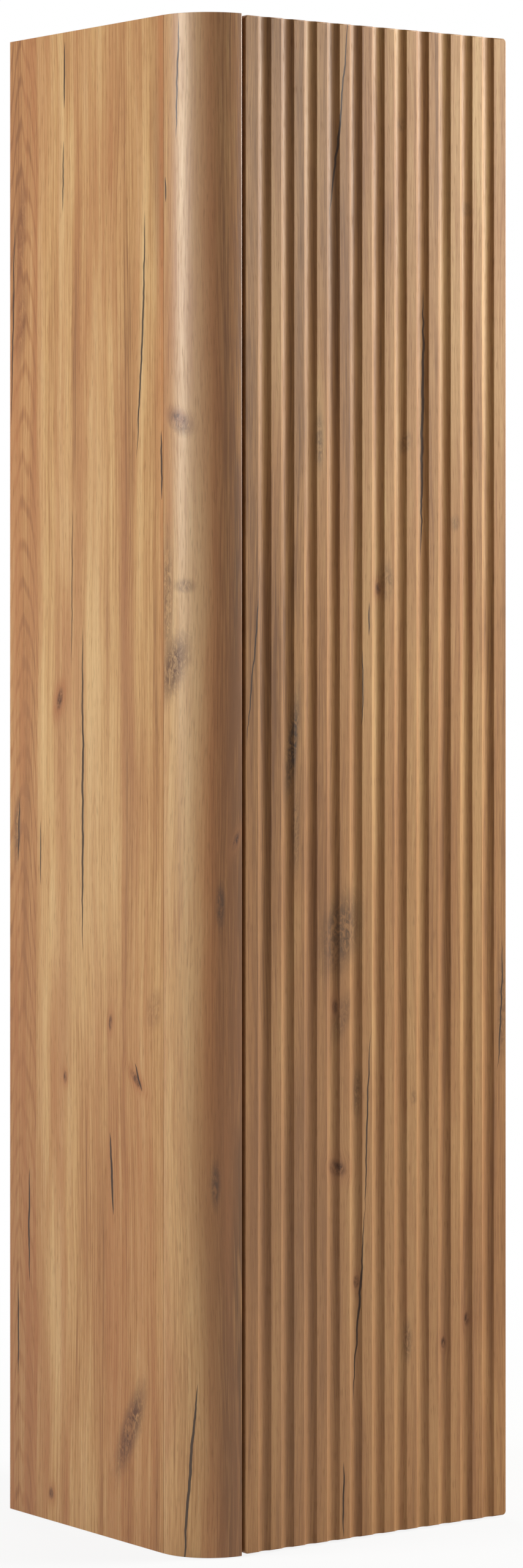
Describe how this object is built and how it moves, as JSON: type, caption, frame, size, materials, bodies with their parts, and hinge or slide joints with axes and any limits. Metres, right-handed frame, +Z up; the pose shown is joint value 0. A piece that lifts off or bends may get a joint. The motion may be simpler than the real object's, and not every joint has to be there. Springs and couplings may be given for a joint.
{
  "type": "fluted door column cabinet",
  "caption": "Tall narrow wall-hung cabinet in oak foil: one handleless fluted door, rounded front post, shelves inside, push latch and concealed hinges.",
  "frame": {"origin": "centre of the cabinet's footprint, on its underside", "axes": "+X to the right seen from the front, +Y from the door to the wall, +Z up"},
  "size_m": [0.35, 0.298, 1.36],
  "materials": {
    "side_oak": "satin foil",
    "post_oak": "satin foil",
    "door_oak": "satin foil",
    "board_oak": "matt laminate",
    "edge_band": "matt",
    "back_board": "lacquered",
    "rail_board": "raw",
    "beech": "raw",
    "zinc": "die cast",
    "nickel": "nickel plated",
    "screw_steel": "zinc plated",
    "latch_plastic": "satin",
    "plunger_plastic": "satin",
    "magnet": "plated",
    "bumper": "clear"
  },
  "bodies": {
    "carcass": {"left_side_panel": "side_oak", "right_side_panel": "side_oak", "front_post": "post_oak", "top_panel": "board_oak", "bottom_panel": "board_oak", "fixed_shelf": "board_oak", "lower_shelf": "board_oak", "upper_shelf": "board_oak", "right_side_band": "edge_band", "top_panel_band": "edge_band", "bottom_panel_band": "edge_band", "fixed_shelf_band": "edge_band", "lower_shelf_band": "edge_band", "upper_shelf_band": "edge_band", "back_panel": "back_board", "lower_rail": "rail_board", "upper_rail": "rail_board", "panel_dowels": "beech", "post_dowels": "beech", "rail_dowels": "beech", "cam_locks": "zinc", "cam_bolts": "zinc", "lower_shelf_pins": "nickel", "upper_shelf_pins": "nickel", "hinge_plate_screws": "screw_steel", "hinge_arm_screws": "screw_steel", "latch_screws": "screw_steel", "latch_body": "latch_plastic", "hinge_arm_lower": "nickel", "hinge_plate_lower": "nickel", "hinge_arm_middle": "nickel", "hinge_plate_middle": "nickel", "hinge_arm_upper": "nickel", "hinge_plate_upper": "nickel"},
    "door": {"door_panel": "door_oak", "hinge_cup_lower": "nickel", "hinge_cup_middle": "nickel", "hinge_cup_upper": "nickel", "hinge_pin_lower": "nickel", "hinge_pin_middle": "nickel", "hinge_pin_upper": "nickel", "hinge_cup_screws": "screw_steel", "latch_strike": "nickel", "latch_strike_screw": "screw_steel", "door_bumpers": "bumper"},
    "plunger": {"latch_plunger": "plunger_plastic", "latch_magnet": "magnet"}
  },
  "joints": [
    {"name": "door_swing", "type": "hinge", "parent": "carcass", "child": "door", "pos_m": [0.1648, -0.1388, 0.68], "axis": [0, 0, 1], "range_deg": [0, 95]},
    {"name": "plunger_slide", "type": "slide", "parent": "carcass", "child": "plunger", "axis": [0, -1, 0], "range_m": [0, 0.014]}
  ],
  "couplings": [
    {"joint": "plunger_slide", "follows": "door_swing", "m_per_rad": 0.008443}
  ]
}
